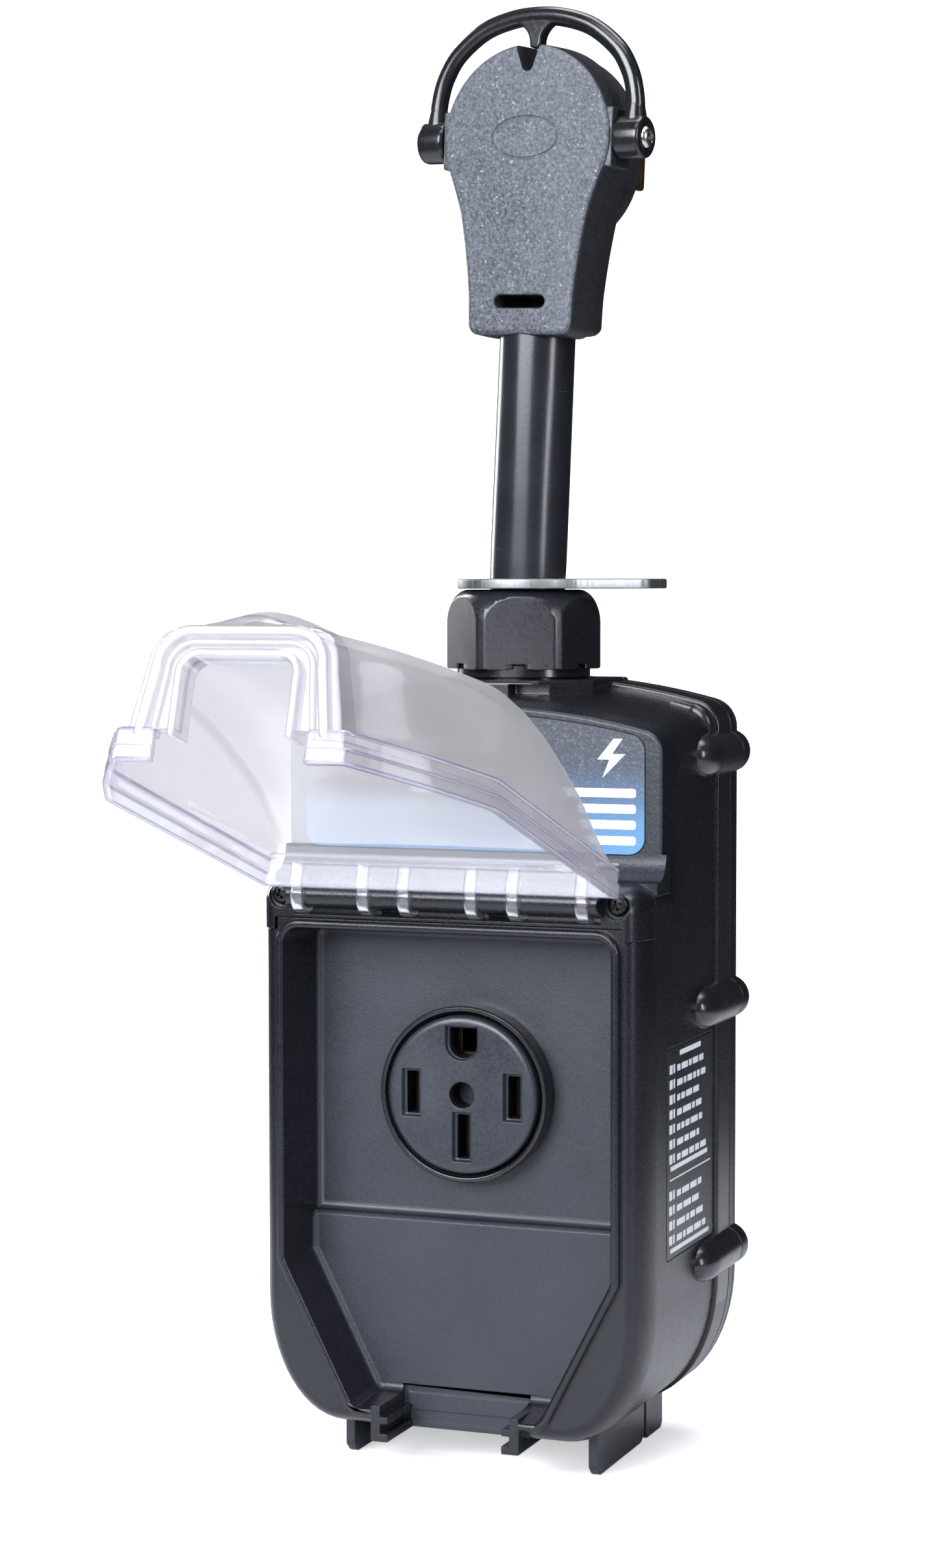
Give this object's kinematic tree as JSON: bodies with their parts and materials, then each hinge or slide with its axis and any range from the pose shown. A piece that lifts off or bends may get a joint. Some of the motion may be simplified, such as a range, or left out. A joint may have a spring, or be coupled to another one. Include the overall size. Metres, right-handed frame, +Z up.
{
  "type": "surge protector",
  "caption": "Portable surge protector with a recessed receptacle under a hinged clear cover, a cord gland on top, a loose lock plate and a plug head with a pull handle.",
  "frame": {"origin": "the middle of the underside of the bounding box with the cover open, in the plane of the undersides of the feet; the cord gland's vertical axis stands 102.3 mm behind it at X 0, Y 0.1023", "axes": "+Z up along the gland; +Y into the case, so the receptacle and the cover face -Y; +X to the right of someone facing the receptacle"},
  "size_m": [0.1504, 0.2862, 0.4992],
  "materials": {
    "black_steel": "black oxide screws",
    "board": "green glass-epoxy board",
    "brass": "bright brass",
    "cable_jacket": "smooth black cable jacket",
    "case_plastic": "moulded black ABS with a fine grain, semi-matt",
    "clear_polycarbonate": "clear polycarbonate with a faint violet tint",
    "copper": "enamelled copper winding and core",
    "gloss_plastic": "smooth black nylon, satin gloss",
    "head_plastic": "mottled dark grey moulded PVC, grained",
    "label_film": "printed polycarbonate film, grey fading to blue",
    "receptacle_plastic": "dark grey thermoset, low sheen",
    "relay_case": "moulded relay case",
    "rubber": "matt black rubber",
    "side_label_film": "black printed film",
    "smoked_window": "smoked acrylic",
    "steel": "bright zinc-plated sheet, sheared edge",
    "terminal_green": "green nylon terminal block",
    "varistor_blue": "blue epoxy coating",
    "wire_black": "black insulation",
    "wire_green": "green insulation",
    "wire_red": "red insulation",
    "wire_white": "white insulation"
  },
  "bodies": {
    "case": {"bracket_screw_left": "black_steel", "bracket_screw_right": "black_steel", "cable_lower": "cable_jacket", "case_gasket": "rubber", "case_screw_left_bottom": "black_steel", "case_screw_left_middle": "black_steel", "case_screw_left_top": "black_steel", "case_screw_right_bottom": "black_steel", "case_screw_right_middle": "black_steel", "case_screw_right_top": "black_steel", "circuit_board": "board", "conductor_ground": "wire_green", "conductor_line_1": "wire_black", "conductor_line_2": "wire_red", "conductor_neutral": "wire_white", "contact_ground": "brass", "contact_hot_1": "brass", "contact_hot_2": "brass", "contact_neutral": "brass", "display_module": "relay_case", "display_window": "smoked_window", "front_label": "label_film", "front_shell": "case_plastic", "gland_body": "gloss_plastic", "gland_locknut": "gloss_plastic", "gland_nut": "gloss_plastic", "gland_seal": "rubber", "hinge_bracket": "case_plastic", "rear_cover": "case_plastic", "receptacle_body": "receptacle_plastic", "receptacle_face": "receptacle_plastic", "receptacle_ring": "gloss_plastic", "relay_left": "relay_case", "relay_right": "relay_case", "side_label": "side_label_film", "terminal_block": "terminal_green", "transformer": "copper", "varistor_1": "varistor_blue", "varistor_2": "varistor_blue", "varistor_3": "varistor_blue", "varistor_4": "varistor_blue"},
    "cover": {"clear_cover": "clear_polycarbonate"},
    "lock_plate": {"lock_plate": "steel"},
    "plug": {"blade_hot_1": "brass", "blade_hot_2": "brass", "blade_neutral": "brass", "cable_upper": "cable_jacket", "ground_pin": "brass", "handle_screw_left": "steel", "handle_screw_right": "steel", "plug_head_back": "head_plastic", "plug_head_front": "head_plastic"},
    "handle": {"pull_handle": "gloss_plastic"}
  },
  "joints": [
    {"name": "cover_hinge", "type": "hinge", "parent": "case", "child": "cover", "pos_m": [0, 0.02398, 0.19665], "axis": [1, 0, 0], "range_deg": [-50, 107.6]},
    {"name": "lock_plate_slide", "type": "slide", "parent": "case", "child": "lock_plate", "axis": [0.0436, 0, 0.999], "range_m": [0, 0.042]},
    {"name": "cable_bend", "type": "hinge", "parent": "case", "child": "plug", "pos_m": [0.00415, 0.10229, 0.362], "axis": [1, 0, 0], "range_deg": [-20, 20]},
    {"name": "handle_swing", "type": "hinge", "parent": "plug", "child": "handle", "pos_m": [0.0068, 0.09438, 0.45364], "axis": [0.9839, -0.1735, -0.0436], "range_deg": [0, 150]}
  ]
}
